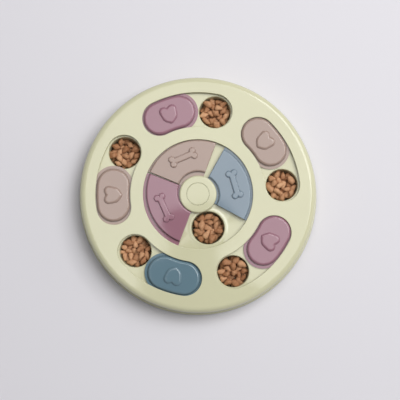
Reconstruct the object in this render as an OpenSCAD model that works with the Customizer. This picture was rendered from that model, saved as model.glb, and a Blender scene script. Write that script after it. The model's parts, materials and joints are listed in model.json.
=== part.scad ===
// Round puzzle feeder for dogs: a base with fourteen cups, a slotted cover, five arc sliders with a
// heart, three sectors with a bone that turn round a central hub, screws and rubber feet.
// Millimetres, +Z up, origin at the centre of the footprint, the feet stand on z = 0.

/* [Shell] */
// outer diameter of the skirt at the floor
base_d = 250; // [200:1:300]
// height of the cover's top face above the floor
top_z = 34; // [30:0.5:45]
// wall thickness of the cover
cover_t = 2.5; // [1.8:0.1:3.4]
// radius of the rounded rim of the cover
rim_r = 6; // [4:0.5:8]
// lean of the cover's wall from the vertical, degrees
draft = 5.5; // [2:0.5:20]
// how far the cover wall's foot stays inside the skirt's outer radius
ledge = 1.6; // [0.8:0.1:4]
// height of the seam between cover and base
seam_z = 7; // [4:0.5:14]
// underside of the skirt above the floor
skirt_z = 1; // [0.4:0.1:3]
// lean of the skirt's outer face over its height
skirt_lean = 0.7; // [0:0.1:2]
// wall thickness of the base ring
ring_t = 2.2; // [1.6:0.1:4]
// gap between the cover's wall and the base ring's wall
shell_gap = 0.4; // [0.2:0.05:1]
// depth of the deck under the cover's top face
deck_drop = 5; // [4.5:0.1:8]
// thickness of the deck
deck_t = 2.5; // [1.6:0.1:4]

/* [Slots and cups] */
// number of slots
slots = 5; // [3:1:6]
// direction of the first slot's middle, degrees
slot_at = 25.7; // [0:0.1:71]
// width of the rim from the slots to the skirt's outer edge
rim_w = 19.75; // [16:0.05:30]
// half-width of a slot
slot_w = 17.8; // [14:0.1:22]
// half-angle between a slot's two end centres
slot_half = 19.3; // [14:0.05:24]
// rounding of the slot and opening edges
mouth_r = 0.5; // [0.3:0.1:2]
// cup radius at the deck
cup_r = 16.4; // [12:0.1:20]
// how much narrower a cup is near its floor
cup_taper = 1.4; // [0:0.1:3]
// rounding at the cup floor
cup_fillet = 4; // [1:0.5:8]
// height of the cup floor
cup_floor_z = 7.5; // [5:0.5:16]
// wall thickness of a cup
cup_t = 2; // [1.4:0.1:3]
// bevel of the cup's edge
cup_edge = 0.6; // [0.2:0.1:1]
// how far the outer cups stand inside the slots' centre line
cup_in = 0.5; // [0:0.1:1.5]

/* [Centre] */
// width of the rail from the slots to the round opening
rail_w = 13.15; // [11:0.05:20]
// radius of the cap
cap_r = 19.2; // [15:0.1:22]
// height of the cap's top above the cover's top face
cap_rise = 0.8; // [0:0.1:2]
// direction of the first centre cup, degrees
mid_cup_dir = 286.7; // [0:0.1:359]
// land of a centre cup: how much narrower it is than the ring between cap and opening
mid_land = 1.65; // [1:0.05:4]
// how far the centre cups stand inside the middle of that ring
mid_in = 1.85; // [0:0.05:3]
// depth of the centre floor below the deck
mid_drop = 0.7; // [0.3:0.1:1.2]
// reach of the centre dish past the opening
dish_reach = 4.5; // [4:0.1:5]
// width of the flat collar round a centre cup
collar_w = 2.8; // [1:0.1:4]
// spread of a collar's sloping side
collar_slope = 1.7; // [0.5:0.1:3]

/* [Sliders] */
// gap between a slot's edge and a slider's raised body
body_gap = 1; // [0.5:0.1:2]
// half-angle between a body's two end centres
body_half = 6.8; // [3:0.1:12]
// flange reach past the body all round
lip_reach = 3.2; // [2:0.1:4.5]
// thickness of slider and sector flanges
lip_t = 1.6; // [1:0.1:2]
// height of slider and sector tops above the cover's top face
body_rise = 0.7; // [0:0.1:3]
// rounding of the sliders' top edges
body_fillet = 2.6; // [0.5:0.1:3]
// how far a body's end centre turns past the slot's end centre at a stop, degrees
stop_over = 0.45; // [0:0.05:0.6]
// how far each slider stands short of its stop, degrees
slack = [0.2, 0.8, 2, 1.2, 0]; // [0:0.1:4]
// heart size, tip to lobes
heart_s = 18.8; // [10:0.1:22]
// how far the hearts stand inside the slots' centre line
heart_in = 0.3; // [0:0.1:3]
// width of the rounded edge of the hearts
heart_edge = 2.4; // [0.4:0.1:3]
// height of hearts and bones
relief = 1.6; // [1:0.1:2]
// rounding of the bones' edges
relief_edge = 1.4; // [0.2:0.1:1.6]

/* [Sectors] */
// angle of each sector, degrees
sec_angle = [89.2, 88, 90.5]; // [80:0.1:95]
// middle direction of each sector, degrees
sec_dir = [16.4, 113.5, 203.95]; // [0:0.05:360]
// how far each sector has slipped off centre
sec_play = [1, 2.2, 1.7]; // [0:0.1:2.2]
// direction in which each sector has slipped, degrees
sec_play_dir = [-55, 93, 75]; // [-180:1:180]
// rounding of the sectors' top edges
sec_fillet = 1.6; // [0.5:0.1:2]
// gap between the cap and a centred sector's raised body
cap_gap = 2; // [1.8:0.1:4]
// gap between the opening and a centred sector's raised body
edge_gap = 2.9; // [2.4:0.1:4]
// reach of a sector's flange under the cap and under the cover
tuck_in = 2.8; // [2.4:0.1:3.4]
tuck_out = 3.1; // [2.4:0.1:3.4]
// how far a bone lies outside the middle of the sector's raised body
bone_out = 1.1; // [0:0.1:3]
// bone length
bone_l = 30; // [18:0.5:32]
// radius of a bone's knobs
knob_r = 3.4; // [2:0.1:5]
// half-width of a bone's shaft
shaft_w = 3.2; // [1.5:0.1:4]

/* [Fasteners and feet] */
// direction of the first pair of screws, degrees
screw_at = 61; // [40:1:70]
// distance of the outer screws from the slots' outer edge
screw_out_gap = 2.75; // [2:0.05:6]
// distance of the inner screws from the opening
screw_in_gap = 10.5; // [9:0.1:12]
// screw shank radius
shank_r = 1.5; // [1:0.1:2]
// screw head radius
head_r = 3; // [2:0.1:4]
// height of a screw head
head_h = 2.2; // [1.2:0.1:3]
// length of a screw's point
point_l = 1.2; // [0.5:0.1:2]
// running gap round pins and screws
pin_gap = 0.05; // [0.02:0.01:0.1]
// gap round screws where they only pass
pass_gap = 0.25; // [0.1:0.05:0.5]
// gap between a moving piece and the shell
slide_gap = 0.3; // [0.2:0.05:0.6]
// radius of the cover's screw bosses
boss_r = 3.6; // [3:0.1:5]
// how much narrower the post is than the cap on top of it
post_in = 5.8; // [5.2:0.1:8]
// radius of the cap's stem
stem_r = 5.4; // [4:0.1:7]
// floor of the stem's socket
socket_floor = 20; // [14:0.5:22]
// wall and floor thickness of the stem's socket
socket_t = 2.4; // [2:0.1:4]
// radius of a rubber foot
foot_r = 5.8; // [4:0.1:8]
// bevel round a foot
foot_edge = 0.4; // [0.1:0.1:1]

/* [Hidden] */
$fn = 96;

pitch = 360 / slots;
base_r = base_d / 2;
slot_r = base_r - rim_w - slot_w;
open_r = slot_r - slot_w - rail_w;
mid_cup_r = (open_r - cap_r) / 2 - mid_land;
mid_cup_at = (open_r + cap_r) / 2 - mid_in;
dish_r = open_r + dish_reach;
body_w = slot_w - body_gap;
sec_in = cap_r + cap_gap;
sec_out = open_r - edge_gap;
bone_at = (sec_in + sec_out) / 2 + bone_out;
post_r = cap_r - post_in;
stop_at = slot_half - body_half + stop_over;
screw_out = slot_r + slot_w + screw_out_gap;
screw_in = open_r + screw_in_gap;

deck_z = top_z - deck_drop;
under_z = top_z - cover_t;
deck_under = deck_z - deck_t;
mid_z = deck_z - mid_drop;
lip_z = deck_z + slide_gap;
lip_top = lip_z + lip_t;
body_top = top_z + body_rise;
cup_under = cup_floor_z - cup_t;
socket_under = socket_floor - socket_t;
skin = 1;
wall_r = base_r - ledge;
wall_c = wall_r * cos(draft) + seam_z * sin(draft);
rim_c = (wall_c - rim_r - (top_z - rim_r) * sin(draft)) / cos(draft);
ring_c = wall_c - cover_t - shell_gap;
seam_lag = 2.7;
soft = 0.9;
cap_fillet = 1.8;
side_less = 0.8;
side_fillet = sec_fillet - side_less;
sink_r = 13.4;
sink = 0.12;
mark_r = 11.5;
mark = 0.45;
cross_w = 0.7;
cross_h = 1.4;
over = 1;

cream = [0.85, 0.84, 0.74];
pink = [0.73, 0.60, 0.64];
beige = [0.74, 0.65, 0.62];
blue = [0.52, 0.60, 0.68];
steel = [0.62, 0.63, 0.65];
black = [0.12, 0.12, 0.12];

// x of a wall line with offset c at height z
function lean(c, z) = (c - z * sin(draft)) / cos(draft);

module square_at(x0, x1, z0, z1) translate([x0, z0]) square([x1 - x0, z1 - z0]);

// rounded slab between x0 and x1, flat underneath
module arch_2d(x0, x1, z0, z1, r) {
  square_at(x0, x1, z0, z1 - r);
  square_at(x0 + r, x1 - r, z0, z1);
  translate([x0 + r, z1 - r]) circle(r);
  translate([x1 - r, z1 - r]) circle(r);
}

// half of the rounded slab, from its own axis
module half_2d(w, z0, z1, r) {
  square_at(0, w, z0, z1 - r);
  square_at(0, w - r, z0, z1);
  translate([w - r, z1 - r]) circle(r);
}

// cutter with a flared mouth at z1
module mouth_2d(x1, z0, z1, r) {
  square_at(0, x1, z0, z1 + over);
  difference() {
    square_at(x1 - 0.01, x1 + r, z1 - r, z1 + over);
    translate([x1 + r, z1 - r]) circle(r);
  }
}

// cross-section of a slot cutter, centred on the slot's radius
module slot_2d(w, z0, z1, r) difference() {
  square_at(-w - r, w + r, z0, z1 + over);
  square_at(-w - r - over, -w, z0 - over, z1 - r);
  square_at(w, w + r + over, z0 - over, z1 - r);
  translate([-w - r, z1 - r]) circle(r);
  translate([w + r, z1 - r]) circle(r);
}

// kidney round the main axis, its middle on +X
module kidney(w, half, z0, z1, r) {
  rotate([0, 0, -half]) rotate_extrude(angle = 2 * half) arch_2d(slot_r - w, slot_r + w, z0, z1, r);
  for (s = [-1, 1]) rotate([0, 0, s * half]) translate([slot_r, 0, 0]) rotate_extrude() half_2d(w, z0, z1, r);
}

module kidney_plain(w, half, z0, z1) {
  rotate([0, 0, -half]) rotate_extrude(angle = 2 * half) square_at(slot_r - w, slot_r + w, z0, z1);
  for (s = [-1, 1]) rotate([0, 0, s * half]) translate([slot_r, 0, z0]) cylinder(r = w, h = z1 - z0);
}

module slot_cutter() {
  rotate([0, 0, -slot_half]) rotate_extrude(angle = 2 * slot_half)
    translate([slot_r, 0]) slot_2d(slot_w, under_z - over, top_z, mouth_r);
  for (s = [-1, 1]) rotate([0, 0, s * slot_half]) translate([slot_r, 0, 0])
    rotate([0, 0, 90 * s - 90]) rotate_extrude(angle = 180) mouth_2d(slot_w, under_z - over, top_z, mouth_r);
}

module at_slot(k) rotate([0, 0, slot_at + k * pitch]) children();

module at_outer_cup(k, s) at_slot(k) rotate([0, 0, s * slot_half]) translate([slot_r - cup_in, 0, 0]) children();

module at_mid_cup(k) rotate([0, 0, mid_cup_dir + k * 90]) translate([mid_cup_at, 0, 0]) children();

module at_screw(k, r) rotate([0, 0, screw_at + k * pitch]) translate([r, 0, 0]) children();

module at_screws() for (k = [0 : slots - 1], r = [screw_in, screw_out]) at_screw(k, r) children();

// --- cover -------------------------------------------------------------------------------------

module cover_2d() {
  xt = rim_c + rim_r * cos(draft);
  zt = top_z - rim_r + rim_r * sin(draft);
  ri = rim_r - cover_t;
  x0 = open_r - over;
  difference() {
    union() {
      polygon([[x0, seam_z], [x0, top_z], [rim_c, top_z], [xt, zt], [wall_r, seam_z]]);
      translate([rim_c, top_z - rim_r]) circle(rim_r);
    }
    polygon([[x0 - over, seam_z - over], [x0 - over, under_z], [rim_c, under_z],
      [rim_c + ri * cos(draft), top_z - rim_r + ri * sin(draft)],
      [lean(wall_c - cover_t, seam_z - over), seam_z - over]]);
    translate([rim_c, top_z - rim_r]) circle(ri);
  }
}

// cover with its slots, its round opening and the screw bosses that stand on the deck
module top_cover() color(cream) difference() {
  union() {
    difference() {
      rotate_extrude() cover_2d();
      rotate_extrude() mouth_2d(open_r, under_z - over, top_z, mouth_r);
      for (k = [0 : slots - 1]) at_slot(k) slot_cutter();
    }
    at_screws() translate([0, 0, deck_z]) cylinder(r = boss_r, h = top_z - skin - deck_z);
  }
  at_screws() {
    translate([0, 0, deck_z - over]) cylinder(r = shank_r + pin_gap, h = top_z - skin - deck_z + over);
    translate([0, 0, top_z + sink_r - sink]) sphere(sink_r);
  }
}

// --- base --------------------------------------------------------------------------------------

// wall and skirt of the base, up to the deck's underside
module ring_2d() {
  r7 = lean(ring_c, seam_z);
  ru = lean(ring_c, deck_under);
  edge = base_r - skirt_lean;
  inner = base_r - ring_t;
  mid = soft * (1 - cos(45));
  polygon([[ru, deck_under], [r7, seam_z], [edge - soft, seam_z], [edge - mid, seam_z - mid],
    [edge, seam_z - soft], [base_r, skirt_z], [inner, skirt_z],
    [inner - skirt_lean, seam_z - ring_t], [r7 - ring_t, seam_z - ring_t], [ru - ring_t, deck_under]]);
}

module base_ring() color(cream) rotate_extrude() ring_2d();

module deck_2d() {
  rd = lean(ring_c, deck_z);
  polygon([[dish_r, deck_under], [lean(ring_c, deck_under), deck_under], [rd, deck_z - cup_edge],
    [rd - cup_edge, deck_z], [dish_r, deck_z]]);
}

module cup_void(r) rotate_extrude() {
  f = cup_fillet;
  foot = r - cup_taper;
  polygon([[0, cup_floor_z], [foot - f, cup_floor_z], [foot, cup_floor_z + f],
    [r, deck_z - cup_edge], [r + cup_edge, deck_z], [r + cup_edge, deck_z + over], [0, deck_z + over]]);
  intersection() {
    translate([foot - f, cup_floor_z + f]) circle(f);
    square_at(0, foot, cup_floor_z, cup_floor_z + f);
  }
}

// cup below the deck, its wall flush with the hole in the deck
module cup(r) color(cream) difference() {
  translate([0, 0, cup_under])
    cylinder(r1 = r - cup_taper + cup_edge, r2 = r + cup_t, h = deck_under - cup_under);
  cup_void(r);
}

// floor of one slot, from just before one pair of screws to just before the next
module deck(k) color(cream) difference() {
  rotate([0, 0, screw_at - seam_lag + (k - 1) * pitch]) rotate_extrude(angle = pitch) deck_2d();
  for (s = [-1, 1]) at_outer_cup(k, s) cup_void(cup_r);
  for (r = [screw_in, screw_out]) at_screw(k - 1, r)
    translate([0, 0, deck_under - over]) cylinder(r = shank_r + pass_gap, h = deck_t + 2 * over);
}

module deck_1() deck(0);
module deck_2() deck(1);
module deck_3() deck(2);
module deck_4() deck(3);
module deck_5() deck(4);

// floor under the sectors, with the post and stem socket of the hub
module centre_dish() color(cream) difference() {
  union() {
    translate([0, 0, deck_under]) cylinder(r = dish_r, h = mid_z - deck_under);
    for (k = [0 : 3]) at_mid_cup(k) translate([0, 0, deck_under])
      cylinder(r = mid_cup_r + collar_w, h = deck_z - deck_under);
    for (k = [0 : 3]) at_mid_cup(k) translate([0, 0, mid_z])
      cylinder(r1 = mid_cup_r + collar_w + collar_slope, r2 = mid_cup_r + collar_w, h = mid_drop);
    translate([0, 0, socket_under]) cylinder(r = stem_r + socket_t, h = mid_z - socket_under);
    translate([0, 0, deck_under]) cylinder(r = post_r, h = under_z - deck_under);
  }
  for (k = [0 : 3]) at_mid_cup(k) cup_void(mid_cup_r);
  translate([0, 0, socket_floor]) cylinder(r = stem_r + pin_gap, h = under_z - socket_floor + over);
  translate([0, 0, socket_under - over]) cylinder(r = shank_r + pass_gap, h = socket_t + 2 * over);
}

module cup_open_1() at_outer_cup(0, -1) cup(cup_r);
module cup_open_2() at_outer_cup(1, -1) cup(cup_r);
module cup_open_3() at_outer_cup(2, -1) cup(cup_r);
module cup_open_4() at_outer_cup(3, -1) cup(cup_r);
module cup_open_5() at_outer_cup(4, -1) cup(cup_r);
module cup_covered_1() at_outer_cup(0, 1) cup(cup_r);
module cup_covered_2() at_outer_cup(1, 1) cup(cup_r);
module cup_covered_3() at_outer_cup(2, 1) cup(cup_r);
module cup_covered_4() at_outer_cup(3, 1) cup(cup_r);
module cup_covered_5() at_outer_cup(4, 1) cup(cup_r);
module centre_cup_front() at_mid_cup(0) cup(mid_cup_r);
module centre_cup_right() at_mid_cup(1) cup(mid_cup_r);
module centre_cup_back() at_mid_cup(2) cup(mid_cup_r);
module centre_cup_left() at_mid_cup(3) cup(mid_cup_r);

// --- hub ---------------------------------------------------------------------------------------

// cap on the post, with its stem in the socket and a shallow ring on top
module hub_cap() color(cream) difference() {
  union() {
    rotate_extrude() half_2d(cap_r, under_z, top_z + cap_rise, cap_fillet);
    translate([0, 0, socket_floor]) cylinder(r = stem_r, h = under_z - socket_floor + over);
  }
  translate([0, 0, socket_floor - over]) cylinder(r = shank_r + pin_gap, h = under_z - socket_floor);
  translate([0, 0, top_z + cap_rise]) rotate_extrude() translate([mark_r, 0]) circle(mark);
}

// screw from below, its head's seat at z and its point at tip
module screw(z, tip) color(steel) difference() {
  union() {
    translate([0, 0, z - head_h]) cylinder(r1 = head_r - soft / 2, r2 = head_r, h = head_h / 3);
    translate([0, 0, z - head_h * 2 / 3]) cylinder(r = head_r, h = head_h * 2 / 3);
    translate([0, 0, z - over]) cylinder(r = shank_r, h = tip - point_l - z + over);
    translate([0, 0, tip - point_l]) cylinder(r1 = shank_r, r2 = shank_r / 3, h = point_l);
  }
  for (a = [0, 90]) rotate([0, 0, a])
    translate([-head_r / 2, -cross_w / 2, z - head_h - over]) cube([head_r, cross_w, cross_h + over]);
}

module hub_screw() screw(socket_under, under_z - 2 * over);

module cover_screw(k, r) at_screw(k, r) screw(deck_under, top_z - skin - pin_gap);

module screw_outer_1() cover_screw(0, screw_out);
module screw_outer_2() cover_screw(1, screw_out);
module screw_outer_3() cover_screw(2, screw_out);
module screw_outer_4() cover_screw(3, screw_out);
module screw_outer_5() cover_screw(4, screw_out);
module screw_inner_1() cover_screw(0, screw_in);
module screw_inner_2() cover_screw(1, screw_in);
module screw_inner_3() cover_screw(2, screw_in);
module screw_inner_4() cover_screw(3, screw_in);
module screw_inner_5() cover_screw(4, screw_in);

// --- feet --------------------------------------------------------------------------------------

// rubber foot glued under an open cup
module foot(k) color(black) at_outer_cup(k, -1) {
  cylinder(r1 = foot_r - foot_edge, r2 = foot_r, h = foot_edge);
  translate([0, 0, foot_edge]) cylinder(r = foot_r, h = cup_under - foot_edge);
}

module foot_1() foot(0);
module foot_2() foot(1);
module foot_3() foot(2);
module foot_4() foot(3);
module foot_5() foot(4);

// --- sliders -----------------------------------------------------------------------------------

// disc with a soft edge on the body's top, the building block of the hearts
module bead(x, y, r) {
  edge = min(heart_edge, 0.8 * r);
  translate([x, y, -relief]) for (step = [[0, 0.15], [0.2, 0.5], [0.45, 0.78], [0.72, 0.94], [1, 1]])
    cylinder(r = r - edge * step[0], h = relief + relief * step[1], $fn = 36);
}

// heart with its tip on -X and its lobes on +X
module heart(s) for (m = [-1, 1]) hull() {
  bead(s * 0.235, m * s * 0.23, s * 0.265);
  bead(-s * 0.04, m * s * 0.05, s * 0.39);
  bead(-s * 0.33, 0, s * 0.18);
}

module slider(k, tint) color(tint) at_slot(k) rotate([0, 0, stop_at - slack[k]]) {
  kidney(body_w, body_half, lip_z, body_top, body_fillet);
  kidney_plain(body_w + lip_reach, body_half, lip_z, lip_top);
  translate([slot_r - heart_in, 0, body_top]) heart(heart_s);
}

module slider_1() slider(0, beige);
module slider_2() slider(1, pink);
module slider_3() slider(2, beige);
module slider_4() slider(3, blue);
module slider_5() slider(4, pink);

// --- sectors -----------------------------------------------------------------------------------

// bone lying along Y, with a rounded shaft
module bone() {
  y = bone_l / 2 - knob_r;
  x = knob_r * 0.82;
  for (sx = [-1, 1], sy = [-1, 1]) translate([sx * x, sy * y, 0])
    rotate_extrude() half_2d(knob_r, -relief, relief, relief_edge);
  translate([0, y, 0]) rotate([90, 0, 0]) linear_extrude(2 * y)
    arch_2d(-shaft_w, shaft_w, -relief, relief, relief_edge);
}

// rounds the top edge of a sector's straight side, which lies along +X
module side_round() translate([sec_in - over, 0, 0]) rotate([90, 0, 90])
  linear_extrude(sec_out - sec_in + 2 * over) difference() {
    square_at(-over, side_fillet, body_top - side_fillet, body_top + over);
    translate([side_fillet, body_top - side_fillet]) circle(side_fillet);
  }

// where a sector has slipped to, its middle on +X
module slipped(i) translate([sec_play[i] * cos(sec_play_dir[i]), sec_play[i] * sin(sec_play_dir[i]), 0])
  rotate([0, 0, sec_dir[i]]) children();

module sector(i, tint) color(tint) slipped(i) {
  half = sec_angle[i] / 2;
  difference() {
    rotate([0, 0, -half]) rotate_extrude(angle = 2 * half) {
      arch_2d(sec_in, sec_out, lip_z, body_top, sec_fillet);
      square_at(cap_r - tuck_in, open_r + tuck_out, lip_z, lip_top);
    }
    for (s = [0, 1]) mirror([0, s, 0]) rotate([0, 0, -half]) side_round();
  }
  translate([bone_at, 0, body_top]) bone();
}

module sector_a() sector(0, blue);
module sector_b() sector(1, beige);
module sector_c() sector(2, pink);

// --- output ------------------------------------------------------------------------------------

base_ring();
deck_1();
deck_2();
deck_3();
deck_4();
deck_5();
centre_dish();
top_cover();
cup_open_1();
cup_open_2();
cup_open_3();
cup_open_4();
cup_open_5();
cup_covered_1();
cup_covered_2();
cup_covered_3();
cup_covered_4();
cup_covered_5();
centre_cup_front();
centre_cup_right();
centre_cup_back();
centre_cup_left();
slider_1();
slider_2();
slider_3();
slider_4();
slider_5();
sector_a();
sector_b();
sector_c();
hub_cap();
hub_screw();
screw_outer_1();
screw_outer_2();
screw_outer_3();
screw_outer_4();
screw_outer_5();
screw_inner_1();
screw_inner_2();
screw_inner_3();
screw_inner_4();
screw_inner_5();
foot_1();
foot_2();
foot_3();
foot_4();
foot_5();
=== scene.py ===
"""Round dog puzzle feeder: finishes of its moulded plastic, kibble in its open cups, and a small studio."""

import json
import math
import random

import bmesh
import bpy
from bpy.props import FloatProperty, FloatVectorProperty, IntProperty, PointerProperty
from mathutils import Matrix, Vector, noise


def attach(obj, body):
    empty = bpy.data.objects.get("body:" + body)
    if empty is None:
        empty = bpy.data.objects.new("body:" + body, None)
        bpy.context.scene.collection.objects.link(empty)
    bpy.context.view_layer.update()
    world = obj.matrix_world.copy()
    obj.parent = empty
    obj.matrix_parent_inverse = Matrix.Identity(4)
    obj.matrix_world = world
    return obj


bl_info = {
    "name": "Puzzle Feeder",
    "version": (1, 0, 0),
    "blender": (4, 5, 0),
    "location": "View3D > Sidebar > Feeder",
    "description": "Plastic finishes, kibble and studio for a round dog puzzle feeder",
    "category": "Object",
}

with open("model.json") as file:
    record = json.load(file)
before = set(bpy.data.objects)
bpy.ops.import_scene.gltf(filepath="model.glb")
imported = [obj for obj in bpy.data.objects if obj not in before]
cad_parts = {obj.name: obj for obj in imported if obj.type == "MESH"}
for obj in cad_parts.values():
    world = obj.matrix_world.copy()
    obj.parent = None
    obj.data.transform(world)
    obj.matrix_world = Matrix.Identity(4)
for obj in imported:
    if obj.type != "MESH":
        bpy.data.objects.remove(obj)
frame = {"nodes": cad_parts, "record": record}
NODES = frame["nodes"]

SHELL_PREFIXES = ("base_ring", "deck", "centre", "top_cover", "cup", "hub_cap")
SHELL_NODES = [name for name in NODES if name.startswith(SHELL_PREFIXES)]
SLIDER_TINTS = ("beige", "pink", "beige", "blue", "pink")
SECTOR_TINTS = {"sector_a": "sky", "sector_b": "beige", "sector_c": "pink"}

# Cups that no slider or sector covers at rest
OPEN_CUPS = [box for box in frame["record"]["physics"]["openings"] if box["name"].endswith("_open")]
# Reach of a cup's kibble, as a share of the width of its opening's box, and how far under that
# box the lowest kibble rests
HEAP_REACH = 0.8
HEAP_SINK = 0.0015

# Kibble, in radii: how high each one starts above the last, how far it sinks in a step,
# its half height, and its centre's least distance from the wall
DROP_PITCH = 0.16
DROP_STEP = 0.035
HALF_HEIGHT = 0.8
WALL_GAP = 1.05
# Steps of the settling, and how near two centres come, as a share of their added radii
DROP_STEPS = 160
NEAREST = 0.86
# Nugget: how many shapes a cup has, and how dense and how deep its large and small lumps are
NUGGET_SHAPES = 6
LUMPS = ((1.2, 0.22), (3.4, 0.08))

# Softboxes: where they hang, what they point at, and their size
CEILING = {"place": (0.18, 0.25, 1.5), "aim": (0.18, 0.25, 0), "size": (1.0, 1.0)}
KEY = {"place": (1.2, 0.84, 2.5), "aim": (0, 0, 0), "size": (1.7, 1.7)}
WINDOW = {"place": (1.6, 0.3, 0.5), "aim": (0, 0, 0), "size": (1.8, 0.9)}

# Dark stand over the feeder, which its glossy mouldings mirror: outline, height and colour
STAND_OUTLINE = (
    (-0.158, -0.40), (-0.158, -0.165), (-0.132, -0.122), (-0.122, -0.053), (-0.060, -0.036),
    (-0.087, 0.020), (-0.055, 0.053), (0.049, 0.071), (0.075, 0.041), (0.088, 0.03), (0.084, 0.008),
    (0.05, -0.02), (0.036, -0.036), (0.043, -0.062), (0.135, -0.122), (0.173, -0.165), (0.173, -0.40),
)
STAND_HEIGHT = 1.3
STAND_BLACK = (0.005, 0.005, 0.005)
FLOOR_REACH = 4
SENSOR_WIDTH = 36


def srgb(red, green, blue):
    """An sRGB colour in 0-255 as the linear values that a shader takes."""
    return tuple(
        (c / 255 / 12.92) if c <= 10 else ((c / 255 + 0.055) / 1.055) ** 2.4 for c in (red, green, blue)
    )


def colour_property(name, description, default):
    return FloatVectorProperty(
        name=name, description=description, subtype="COLOR", size=3, min=0, max=1, default=default
    )


def length_property(name, description, default, least):
    return FloatProperty(name=name, description=description, unit="LENGTH", min=least, default=default)


def polish_property(description, default):
    return FloatProperty(name="Polish", description=description, min=0.02, max=1, default=default)


def strength_property(name, description, default):
    return FloatProperty(name=name, description=description, min=0, default=default)


class FeederShell(bpy.types.PropertyGroup):
    """Finish of the shell and of its hidden hardware."""

    cream: colour_property("Cream", "Plastic of base, cups, cover and cap", srgb(205, 203, 170))
    polish: polish_property("Roughness of the shell's surface", 0.06)
    zinc: colour_property("Zinc", "Plating of the screws", srgb(176, 178, 182))
    rubber: colour_property("Rubber", "Feet under the cups", srgb(52, 52, 54))


class FeederMovers(bpy.types.PropertyGroup):
    """Colours of the sliders and sectors."""

    beige: colour_property("Beige", "Mauve beige plastic", srgb(165, 142, 131))
    pink: colour_property("Pink", "Dusty pink plastic", srgb(152, 110, 123))
    blue: colour_property("Blue", "Grey blue plastic", srgb(101, 126, 138))
    sky: colour_property("Sky", "Paler grey blue plastic", srgb(123, 139, 152))
    polish: polish_property("Roughness of the moving pieces", 0.05)


class FeederKibble(bpy.types.PropertyGroup):
    """Dry food in the open cups."""

    radius: length_property("Radius", "Mean radius of a kibble", 0.0039, least=0.002)
    count: IntProperty(name="Count", description="Kibbles dropped into a cup", default=120, min=1, max=140)
    brim: length_property("Brim", "Height of the kibbles' top above the floor", 0.0285, least=0.01)
    light: colour_property("Light", "Pale kibble", srgb(216, 168, 128))
    dark: colour_property("Dark", "Dark kibble", srgb(146, 93, 56))


class FeederStage(bpy.types.PropertyGroup):
    """Camera, floor and lights."""

    elevation: FloatProperty(
        name="Elevation", description="Camera above the floor", subtype="ANGLE", default=math.radians(86.5)
    )
    distance: length_property("Distance", "Camera to the aim", 1.2, least=0.3)
    span: length_property("Span", "Width of the view at the aim", 0.4223, least=0.1)
    aim: FloatVectorProperty(
        name="Aim",
        description="Point at the middle of the view",
        subtype="TRANSLATION",
        default=(0.0021, -0.00401, 0),
    )
    paper: colour_property("Paper", "Floor", srgb(220, 218, 223))
    ceiling_power: strength_property("Ceiling power", "Softbox overhead, watts", 8.8)
    key_power: strength_property("Key power", "Softbox at the upper right, watts", 50)
    window_power: strength_property("Window power", "Large low softbox at the right, watts", 3)
    fill: strength_property("Fill", "Strength of the surroundings", 0.24)


# --- shader groups -------------------------------------------------------------------------------


def new_group(name, inputs, outputs):
    """A shader node group with named sockets, and its input and output nodes."""
    group = bpy.data.node_groups.new(name, "ShaderNodeTree")
    for label, kind, default in inputs:
        socket = group.interface.new_socket(label, in_out="INPUT", socket_type=kind)
        socket.default_value = default
    for label, kind in outputs:
        group.interface.new_socket(label, in_out="OUTPUT", socket_type=kind)
    return group, group.nodes.new("NodeGroupInput"), group.nodes.new("NodeGroupOutput")


def place_noise(tree, scale, detail=3.0):
    """A noise on Object coordinates whose scale comes from a socket or a number."""
    coordinates = tree.nodes.new("ShaderNodeTexCoord")
    texture = tree.nodes.new("ShaderNodeTexNoise")
    texture.inputs["Detail"].default_value = detail
    tree.links.new(coordinates.outputs["Object"], texture.inputs["Vector"])
    if isinstance(scale, bpy.types.NodeSocket):
        tree.links.new(scale, texture.inputs["Scale"])
    else:
        texture.inputs["Scale"].default_value = scale
    return texture


def subtract(tree, start=None, take=None):
    """A subtraction with one end as a number; the other end is linked by the caller."""
    node = tree.nodes.new("ShaderNodeMath")
    node.operation = "SUBTRACT"
    for socket, value in zip(node.inputs, (start, take)):
        if value is not None:
            socket.default_value = value
    return node


def darken(group, start, end, mask, low, high):
    """Scales the group's Color by 1 - Amount where the mask is low, and by 1 where it is high."""
    shade = group.nodes.new("ShaderNodeMapRange")
    shade.inputs["From Min"].default_value = low
    shade.inputs["From Max"].default_value = high
    shade.inputs["To Max"].default_value = 1.0
    least = subtract(group, start=1.0)
    tinted = group.nodes.new("ShaderNodeVectorMath")
    tinted.operation = "SCALE"
    group.links.new(mask, shade.inputs["Value"])
    group.links.new(start.outputs["Amount"], least.inputs[1])
    group.links.new(least.outputs[0], shade.inputs["To Min"])
    group.links.new(start.outputs["Color"], tinted.inputs[0])
    group.links.new(shade.outputs["Result"], tinted.inputs["Scale"])
    group.links.new(tinted.outputs[0], end.inputs["Color"])


def make_tone_drift():
    """Slow, faint change of tone across a moulding."""
    group, start, end = new_group(
        "tone_drift",
        [
            ("Color", "NodeSocketColor", (0.8, 0.8, 0.8, 1)),
            ("Scale", "NodeSocketFloat", 18.0),
            ("Amount", "NodeSocketFloat", 0.04),
        ],
        [("Color", "NodeSocketColor")],
    )
    texture = place_noise(group, start.outputs["Scale"])
    darken(group, start, end, texture.outputs["Fac"], low=0.3, high=0.7)
    return group


def make_painted_corner_shade():
    """Painted shade: darker colour in the tight inside angles that a moulding's own faces make, where less
    light reaches.
    """
    group, start, end = new_group(
        "painted_corner_shade",
        [
            ("Color", "NodeSocketColor", (0.8, 0.8, 0.8, 1)),
            ("Reach", "NodeSocketFloat", 0.003),
            ("Amount", "NodeSocketFloat", 0.5),
        ],
        [("Color", "NodeSocketColor")],
    )
    # Ambient occlusion of the moulding's own faces drives the darkening: painted shade, not dirt.
    corner = group.nodes.new("ShaderNodeAmbientOcclusion")
    corner.only_local = True
    corner.samples = 4
    group.links.new(start.outputs["Reach"], corner.inputs["Distance"])
    darken(group, start, end, corner.outputs["AO"], low=0.4, high=0.74)
    return group


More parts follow.
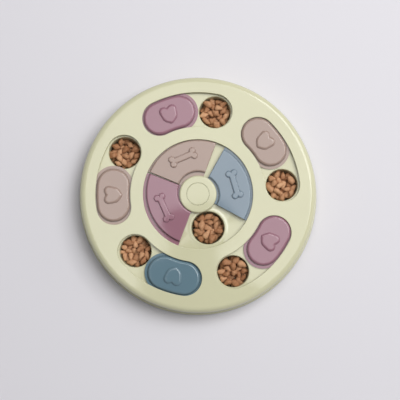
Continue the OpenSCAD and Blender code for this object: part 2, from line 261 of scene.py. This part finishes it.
def make_polish():
    """Roughness that wanders a little, as on a handled moulding."""
    group, start, end = new_group(
        "polish",
        [
            ("Roughness", "NodeSocketFloat", 0.2),
            ("Spread", "NodeSocketFloat", 0.04),
            ("Scale", "NodeSocketFloat", 60.0),
        ],
        [("Roughness", "NodeSocketFloat")],
    )
    texture = place_noise(group, start.outputs["Scale"])
    offset = subtract(group, take=0.5)
    wander = group.nodes.new("ShaderNodeMath")
    wander.operation = "MULTIPLY_ADD"
    group.links.new(texture.outputs["Fac"], offset.inputs[0])
    group.links.new(offset.outputs[0], wander.inputs[0])
    group.links.new(start.outputs["Spread"], wander.inputs[1])
    group.links.new(start.outputs["Roughness"], wander.inputs[2])
    group.links.new(wander.outputs[0], end.inputs["Roughness"])
    return group


def make_mould_skin():
    """Faint waviness and fine grain of a moulded surface, as a normal."""
    group, start, end = new_group(
        "mould_skin",
        [
            ("Wave Height", "NodeSocketFloat", 0.00002),
            ("Grain Height", "NodeSocketFloat", 0.000003),
            ("Grain Scale", "NodeSocketFloat", 1800.0),
        ],
        [("Normal", "NodeSocketVector")],
    )
    wave = place_noise(group, scale=45.0, detail=1.0)
    grain = place_noise(group, start.outputs["Grain Scale"], detail=2.0)
    last = None
    for texture, height in ((wave, "Wave Height"), (grain, "Grain Height")):
        bump = group.nodes.new("ShaderNodeBump")
        bump.inputs["Strength"].default_value = 1.0
        group.links.new(texture.outputs["Fac"], bump.inputs["Height"])
        group.links.new(start.outputs[height], bump.inputs["Distance"])
        if last:
            group.links.new(last.outputs["Normal"], bump.inputs["Normal"])
        last = bump
    group.links.new(last.outputs["Normal"], end.inputs["Normal"])
    return group


GROUPS = {}


def shared(name, maker):
    """Builds a shader group once and hands it out afterwards."""
    if name not in GROUPS:
        GROUPS[name] = maker()
    return GROUPS[name]


def add_group(tree, name, maker, **values):
    """Places a shared group in a material, with its own values."""
    node = tree.nodes.new("ShaderNodeGroup")
    node.node_tree = shared(name, maker)
    for label, value in values.items():
        node.inputs[label.replace("_", " ")].default_value = value
    return node


# --- materials -----------------------------------------------------------------------------------


def new_material(name):
    material = bpy.data.materials.new(name)
    material.use_nodes = True
    return material, material.node_tree, material.node_tree.nodes["Principled BSDF"]


def moulded_plastic(name, colour, roughness):
    """Glossy moulded polypropylene."""
    material, tree, shader = new_material(name)
    # Painted shade: the base colour is darkened in tight inside angles of the moulding, where less light
    # reaches.
    corner_shade = add_group(tree, "painted_corner_shade", make_painted_corner_shade, Reach=0.003, Amount=0.85)
    tone = add_group(tree, "tone_drift", make_tone_drift, Color=(*colour, 1), Amount=0.035)
    polish = add_group(tree, "polish", make_polish, Roughness=roughness, Spread=0.02)
    skin = add_group(tree, "mould_skin", make_mould_skin)
    shader.inputs["IOR"].default_value = 1.5
    tree.links.new(tone.outputs["Color"], corner_shade.inputs["Color"])
    tree.links.new(corner_shade.outputs["Color"], shader.inputs["Base Color"])
    tree.links.new(polish.outputs["Roughness"], shader.inputs["Roughness"])
    tree.links.new(skin.outputs["Normal"], shader.inputs["Normal"])
    return material


def zinc_plate(name, colour):
    """Plated steel of the screws."""
    material, tree, shader = new_material(name)
    shader.inputs["Metallic"].default_value = 1.0
    polish = add_group(tree, "polish", make_polish, Roughness=0.34, Spread=0.12, Scale=900.0)
    tone = add_group(tree, "tone_drift", make_tone_drift, Color=(*colour, 1), Scale=400.0, Amount=0.15)
    tree.links.new(tone.outputs["Color"], shader.inputs["Base Color"])
    tree.links.new(polish.outputs["Roughness"], shader.inputs["Roughness"])
    return material


def soft_rubber(name, colour):
    """Matt rubber of the feet."""
    material, tree, shader = new_material(name)
    tone = add_group(tree, "tone_drift", make_tone_drift, Color=(*colour, 1), Scale=200.0, Amount=0.12)
    skin = add_group(tree, "mould_skin", make_mould_skin, Grain_Height=0.00002, Grain_Scale=2500.0)
    shader.inputs["Roughness"].default_value = 0.85
    tree.links.new(tone.outputs["Color"], shader.inputs["Base Color"])
    tree.links.new(skin.outputs["Normal"], shader.inputs["Normal"])
    return material


def baked_kibble(name, light, dark):
    """Baked food: its tone comes from each kibble's own bake value, with mottling and pores."""
    material, tree, shader = new_material(name)
    bake = tree.nodes.new("ShaderNodeAttribute")
    bake.attribute_name = "bake"
    mottle = place_noise(tree, scale=420.0, detail=5.0)
    blend = tree.nodes.new("ShaderNodeMath")
    blend.operation = "MULTIPLY_ADD"
    blend.inputs[1].default_value = 0.6
    ramp = tree.nodes.new("ShaderNodeValToRGB")
    ramp.color_ramp.elements[0].position = 0.35
    ramp.color_ramp.elements[0].color = (*dark, 1)
    ramp.color_ramp.elements[1].position = 1.0
    ramp.color_ramp.elements[1].color = (*light, 1)
    pores = place_noise(tree, scale=900.0, detail=6.0)
    bump = tree.nodes.new("ShaderNodeBump")
    bump.inputs["Strength"].default_value = 1.0
    bump.inputs["Distance"].default_value = 0.0004
    tree.links.new(mottle.outputs["Fac"], blend.inputs[0])
    tree.links.new(bake.outputs["Fac"], blend.inputs[2])
    tree.links.new(blend.outputs[0], ramp.inputs["Fac"])
    tree.links.new(ramp.outputs["Color"], shader.inputs["Base Color"])
    tree.links.new(pores.outputs["Fac"], bump.inputs["Height"])
    tree.links.new(bump.outputs["Normal"], shader.inputs["Normal"])
    shader.inputs["Roughness"].default_value = 0.75
    return material


def dress(node_name, material):
    """Gives a CAD node its material and smooth curved faces with crisp edges."""
    piece = NODES[node_name]
    piece.data.materials.clear()
    piece.data.materials.append(material)
    for face in piece.data.polygons:
        face.use_smooth = True
    weld = piece.modifiers.new("Weld", "WELD")
    weld.merge_threshold = 0.000002
    split = piece.modifiers.new("Crisp edges", "EDGE_SPLIT")
    split.split_angle = math.radians(28)
    split.use_edge_sharp = False
    flat = piece.modifiers.new("Flat faces", "WEIGHTED_NORMAL")
    flat.mode = "FACE_AREA"
    flat.weight = 100


# --- kibble --------------------------------------------------------------------------------------


def kibble_shape(seed):
    """One worn, broken nugget of about unit radius, as a bmesh about the origin."""
    rng = random.Random(seed)
    nugget = bmesh.new()
    bmesh.ops.create_icosphere(nugget, subdivisions=2, radius=1.0)
    sides = rng.choice((3, 3, 4))
    corner = rng.uniform(0.2, 0.304)
    stretch = Vector((rng.uniform(1.05, 1.3), rng.uniform(0.72, 0.92), rng.uniform(0.62, 0.8)))
    shift = Vector((rng.uniform(0, 50), rng.uniform(0, 50), rng.uniform(0, 50)))
    for vertex in nugget.verts:
        turn = math.atan2(vertex.co.y, vertex.co.x)
        girth = math.hypot(vertex.co.x, vertex.co.y) ** 2
        outline = 1 + corner * math.cos(sides * turn) * girth
        lumps = sum(noise.noise(vertex.co * density + shift) * depth for density, depth in LUMPS)
        worn = Vector((outline, outline, 1)) * (1 + lumps)
        vertex.co = Vector(a * b * c for a, b, c in zip(vertex.co, worn, stretch))
    return nugget


def push_apart(balls, sizes):
    """Moves each pair of balls that come too near half their overlap away from each other."""
    for i in range(len(balls)):
        for j in range(i):
            gap = balls[i] - balls[j]
            need = (sizes[i] + sizes[j]) * NEAREST
            if 0 < gap.length < need:
                push = gap.normalized() * (need - gap.length) * 0.5
                balls[i] += push
                balls[j] -= push


def keep_inside(ball, size, wall, floor_z):
    """Brings a ball back inside the cup's wall and onto its floor."""
    flat = Vector((ball.x, ball.y))
    limit = wall - size * WALL_GAP
    if flat.length > limit:
        flat = flat.normalized() * limit
        ball.x, ball.y = flat
    ball.z = max(ball.z, floor_z + size * HALF_HEIGHT)


def settle(count, radius, wall, floor_z, rng):
    """Centres and radii of balls dropped into a round cup and pushed apart until they rest."""
    balls = []
    for i in range(count):
        turn = rng.uniform(0, math.tau)
        reach = (wall - radius) * math.sqrt(rng.random())
        height = floor_z + radius * (1 + i * DROP_PITCH)
        balls.append(Vector((math.cos(turn) * reach, math.sin(turn) * reach, height)))
    sizes = [radius * rng.uniform(0.85, 1.12) for _ in balls]
    for _ in range(DROP_STEPS):
        for ball in balls:
            ball.z -= radius * DROP_STEP
        push_apart(balls, sizes)
        for ball, size in zip(balls, sizes):
            keep_inside(ball, size, wall, floor_z)
    return balls, sizes


def add_nugget(heap, shape, place, tone):
    """Adds a copy of a nugget to the heap, with its bake value."""
    bake = heap.verts.layers.float["bake"]
    nugget = shape.copy()
    nugget.transform(place)
    mesh = bpy.data.meshes.new("nugget")
    nugget.to_mesh(mesh)
    nugget.free()
    start = len(heap.verts)
    heap.from_mesh(mesh)
    bpy.data.meshes.remove(mesh)
    heap.verts.ensure_lookup_table()
    for vertex in heap.verts[start:]:
        vertex[bake] = tone


def fill_cup(name, centre, wall, floor_z, settings, seed):
    """One piece with the kibbles of a cup."""
    rng = random.Random(seed)
    shapes = [kibble_shape(seed * 10 + i) for i in range(NUGGET_SHAPES)]
    balls, sizes = settle(settings.count, settings.radius, wall, floor_z, rng)
    heap = bmesh.new()
    heap.verts.layers.float.new("bake")
    for ball, size in zip(balls, sizes):
        if ball.z + size * HALF_HEIGHT > settings.brim:
            continue
        shape = rng.choice(shapes)
        turn = Matrix.Rotation(rng.uniform(0, math.tau), 4, "Z")
        tilt = Matrix.Rotation(rng.gauss(0, 0.7), 4, "X")
        spot = Matrix.Translation((centre.x + ball.x, centre.y + ball.y, ball.z))
        add_nugget(heap, shape, spot @ turn @ tilt @ Matrix.Scale(size, 4), rng.uniform(0.15, 0.62))
    for shape in shapes:
        shape.free()
    for face in heap.faces:
        face.smooth = True
    mesh = bpy.data.meshes.new(name)
    heap.to_mesh(mesh)
    heap.free()
    piece = bpy.data.objects.new(name, mesh)
    bpy.context.collection.objects.link(piece)
    return piece


# --- studio --------------------------------------------------------------------------------------


def flat_piece(name, sheet, material):
    """Turns a bmesh sheet into a piece with its material."""
    mesh = bpy.data.meshes.new(name)
    sheet.to_mesh(mesh)
    sheet.free()
    mesh.materials.append(material)
    piece = bpy.data.objects.new(name, mesh)
    bpy.context.collection.objects.link(piece)
    return piece


def dull_finish(name, colour, roughness, gloss):
    material, _, shader = new_material(name)
    shader.inputs["Base Color"].default_value = (*colour, 1)
    shader.inputs["Roughness"].default_value = roughness
    shader.inputs["Specular IOR Level"].default_value = gloss
    return material


def dark_card(name, outline, height):
    """A dull black card that the glossy mouldings mirror and the camera doesn't see."""
    sheet = bmesh.new()
    sheet.faces.new([sheet.verts.new((x, y, height)) for x, y in outline])
    bmesh.ops.triangulate(sheet, faces=sheet.faces[:])
    card = flat_piece(name, sheet, dull_finish(name, STAND_BLACK, roughness=1.0, gloss=0.0))
    card.visible_camera = False


def paper_floor(colour):
    sheet = bmesh.new()
    bmesh.ops.create_grid(sheet, x_segments=1, y_segments=1, size=FLOOR_REACH)
    floor = flat_piece("paper", sheet, dull_finish("paper", colour, roughness=0.9, gloss=0.1))


def softbox(name, power, place, aim, size):
    lamp = bpy.data.lights.new(name, "AREA")
    lamp.shape = "RECTANGLE"
    lamp.size, lamp.size_y = size
    lamp.energy = power
    holder = bpy.data.objects.new(name, lamp)
    holder.location = place
    holder.rotation_euler = (Vector(aim) - Vector(place)).to_track_quat("-Z", "Y").to_euler()
    holder.visible_camera = False
    bpy.context.collection.objects.link(holder)


# --- operators -----------------------------------------------------------------------------------


class FEEDER_OT_stage(bpy.types.Operator):
    """Set the camera, the paper floor and the lights"""

    bl_idname = "feeder.stage"
    bl_label = "Set stage"

    def execute(self, context):
        stage = context.scene.feeder_stage
        scene = context.scene
        scene.view_settings.view_transform = "Standard"
        self.add_camera(scene, stage)
        paper_floor(stage.paper)
        self.add_lights(scene, stage)
        return {"FINISHED"}

    def add_camera(self, scene, stage):
        view = bpy.data.cameras.new("camera")
        view.sensor_width = SENSOR_WIDTH
        view.lens = SENSOR_WIDTH * stage.distance / stage.span
        view.clip_end = 20
        camera = bpy.data.objects.new("camera", view)
        away = Vector((0, -math.cos(stage.elevation), math.sin(stage.elevation)))
        camera.location = Vector(stage.aim) + away * stage.distance
        camera.rotation_euler = (math.pi / 2 - stage.elevation, 0, 0)
        bpy.context.collection.objects.link(camera)
        scene.camera = camera

    def add_lights(self, scene, stage):
        softbox("ceiling", stage.ceiling_power, **CEILING)
        softbox("key", stage.key_power, **KEY)
        softbox("window", stage.window_power, **WINDOW)
        dark_card("camera_stand", STAND_OUTLINE, STAND_HEIGHT)
        world = bpy.data.worlds.new("surroundings")
        world.use_nodes = True
        world.node_tree.nodes["Background"].inputs["Strength"].default_value = stage.fill
        world.node_tree.nodes["Background"].inputs["Color"].default_value = (1, 1, 1, 1)
        scene.world = world


class FEEDER_OT_shell(bpy.types.Operator):
    """Dress the base, cups, cover and cap in cream plastic"""

    bl_idname = "feeder.shell"
    bl_label = "Dress shell"

    def execute(self, context):
        look = context.scene.feeder_shell
        cream = moulded_plastic("cream_plastic", look.cream, look.polish)
        for name in SHELL_NODES:
            dress(name, cream)
        return {"FINISHED"}


class FEEDER_OT_movers(bpy.types.Operator):
    """Dress the sliders and sectors in their coloured plastics"""

    bl_idname = "feeder.movers"
    bl_label = "Dress sliders and sectors"

    def execute(self, context):
        look = context.scene.feeder_movers
        tints = {
            tint: moulded_plastic(tint + "_plastic", getattr(look, tint), look.polish)
            for tint in ("beige", "pink", "blue", "sky")
        }
        for i, tint in enumerate(SLIDER_TINTS):
            dress(f"slider_{i + 1}", tints[tint])
        for name, tint in SECTOR_TINTS.items():
            dress(name, tints[tint])
        return {"FINISHED"}


class FEEDER_OT_hardware(bpy.types.Operator):
    """Dress the screws in zinc and the feet in rubber"""

    bl_idname = "feeder.hardware"
    bl_label = "Dress screws and feet"

    def execute(self, context):
        look = context.scene.feeder_shell
        zinc = zinc_plate("zinc", look.zinc)
        rubber = soft_rubber("rubber", look.rubber)
        for name in NODES:
            if "screw" in name:
                dress(name, zinc)
            elif name.startswith("foot"):
                dress(name, rubber)
        return {"FINISHED"}


class FEEDER_OT_kibble(bpy.types.Operator):
    """Fill the open cups with kibble"""

    bl_idname = "feeder.kibble"
    bl_label = "Fill cups"

    def execute(self, context):
        settings = context.scene.feeder_kibble
        baked = baked_kibble("kibble", settings.light, settings.dark)
        for i, opening in enumerate(OPEN_CUPS):
            low, high = (Vector(corner) for corner in opening["box_m"])
            centre = (low + high) / 2
            wall = (high.x - low.x) * HEAP_REACH
            piece = fill_cup("kibble_" + opening["name"], centre, wall, low.z - HEAP_SINK, settings, i + 1)
            piece.data.materials.append(baked)
            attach(piece, "base")
        return {"FINISHED"}


class FEEDER_PT_panel(bpy.types.Panel):
    """Lists the steps that dress the feeder"""

    bl_label = "Puzzle feeder"
    bl_space_type = "VIEW_3D"
    bl_region_type = "UI"
    bl_category = "Feeder"

    def draw(self, context):
        for step in STEPS:
            self.layout.operator(step.bl_idname)


STEPS = (FEEDER_OT_stage, FEEDER_OT_shell, FEEDER_OT_movers, FEEDER_OT_hardware, FEEDER_OT_kibble)
SETTINGS = {
    "feeder_shell": FeederShell,
    "feeder_movers": FeederMovers,
    "feeder_kibble": FeederKibble,
    "feeder_stage": FeederStage,
}


def register():
    for name, group in SETTINGS.items():
        bpy.utils.register_class(group)
        setattr(bpy.types.Scene, name, PointerProperty(type=group))
    for step in (*STEPS, FEEDER_PT_panel):
        bpy.utils.register_class(step)


def unregister():
    for step in reversed((*STEPS, FEEDER_PT_panel)):
        bpy.utils.unregister_class(step)
    for name, group in reversed(SETTINGS.items()):
        delattr(bpy.types.Scene, name)
        bpy.utils.unregister_class(group)


def main():
    register()
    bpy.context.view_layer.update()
    for step in STEPS:
        area, name = step.bl_idname.split(".")
        getattr(getattr(bpy.ops, area), name)()


if __name__ == "__main__":
    main()
